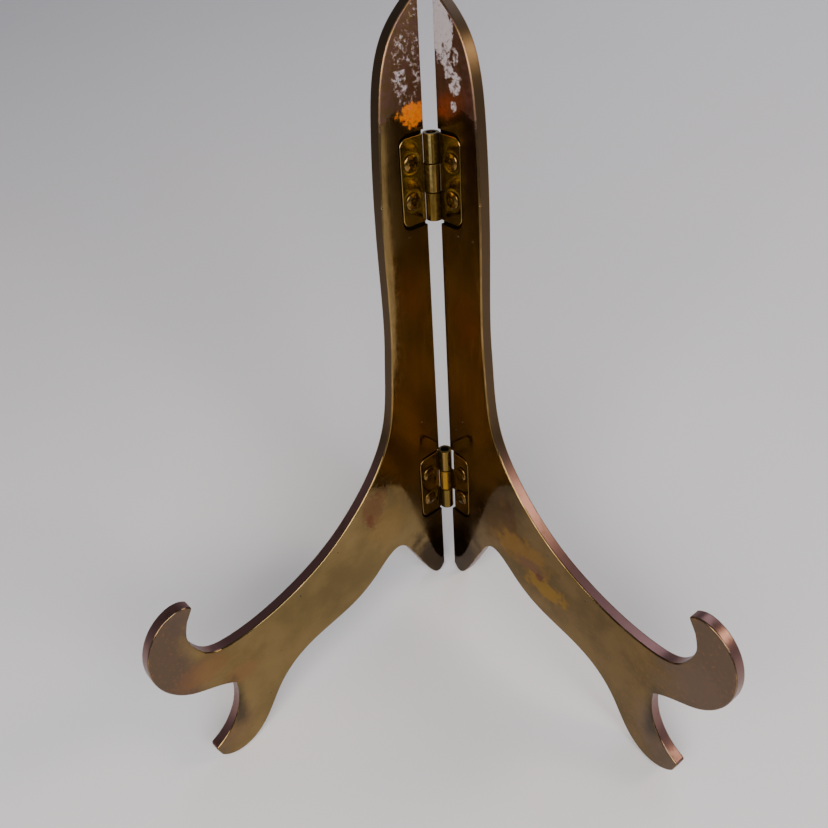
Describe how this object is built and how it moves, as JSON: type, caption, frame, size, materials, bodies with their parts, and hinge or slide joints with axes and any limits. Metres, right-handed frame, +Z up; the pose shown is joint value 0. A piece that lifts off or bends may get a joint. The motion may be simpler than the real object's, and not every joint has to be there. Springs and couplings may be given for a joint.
{
  "type": "album stand",
  "caption": "Folding brass easel of two hinged plates on four feet, with hooks that cradle the lower edge of an album or plate.",
  "frame": {"origin": "centre of the stand's box at table level, with the four feet on z = 0", "axes": "+Z up, +Y towards the back where the hinges are, -Y towards the hooks and the viewer, +X to the viewer's right; symmetric about X = 0"},
  "size_m": [0.17, 0.1278, 0.197],
  "materials": {
    "tarnished_brass": "old polished sheet brass, tarnished olive brown, with coppery stains and white bloom",
    "hinge_brass": "bright drawn and rolled hinge brass, lightly tarnished",
    "rivet_brass": "set rivet brass, polished dome, dark in the corners"
  },
  "bodies": {
    "left_side": {"left_plate": "tarnished_brass", "upper_hinge_left_leaf": "hinge_brass", "lower_hinge_left_leaf": "hinge_brass", "lower_hinge_pin": "hinge_brass", "upper_left_top_rivet": "rivet_brass", "upper_left_bottom_rivet": "rivet_brass", "lower_left_top_rivet": "rivet_brass", "lower_left_bottom_rivet": "rivet_brass"},
    "right_side": {"right_plate": "tarnished_brass", "upper_hinge_right_leaf": "hinge_brass", "lower_hinge_right_leaf": "hinge_brass", "upper_hinge_pin": "hinge_brass", "upper_right_top_rivet": "rivet_brass", "upper_right_bottom_rivet": "rivet_brass", "lower_right_top_rivet": "rivet_brass", "lower_right_bottom_rivet": "rivet_brass"}
  },
  "joints": [
    {"name": "fold", "type": "hinge", "parent": "left_side", "child": "right_side", "pos_m": [0, 0.05142, 0.15025], "axis": [0, 0.2399, 0.9708], "range_deg": [-83, 140]}
  ]
}
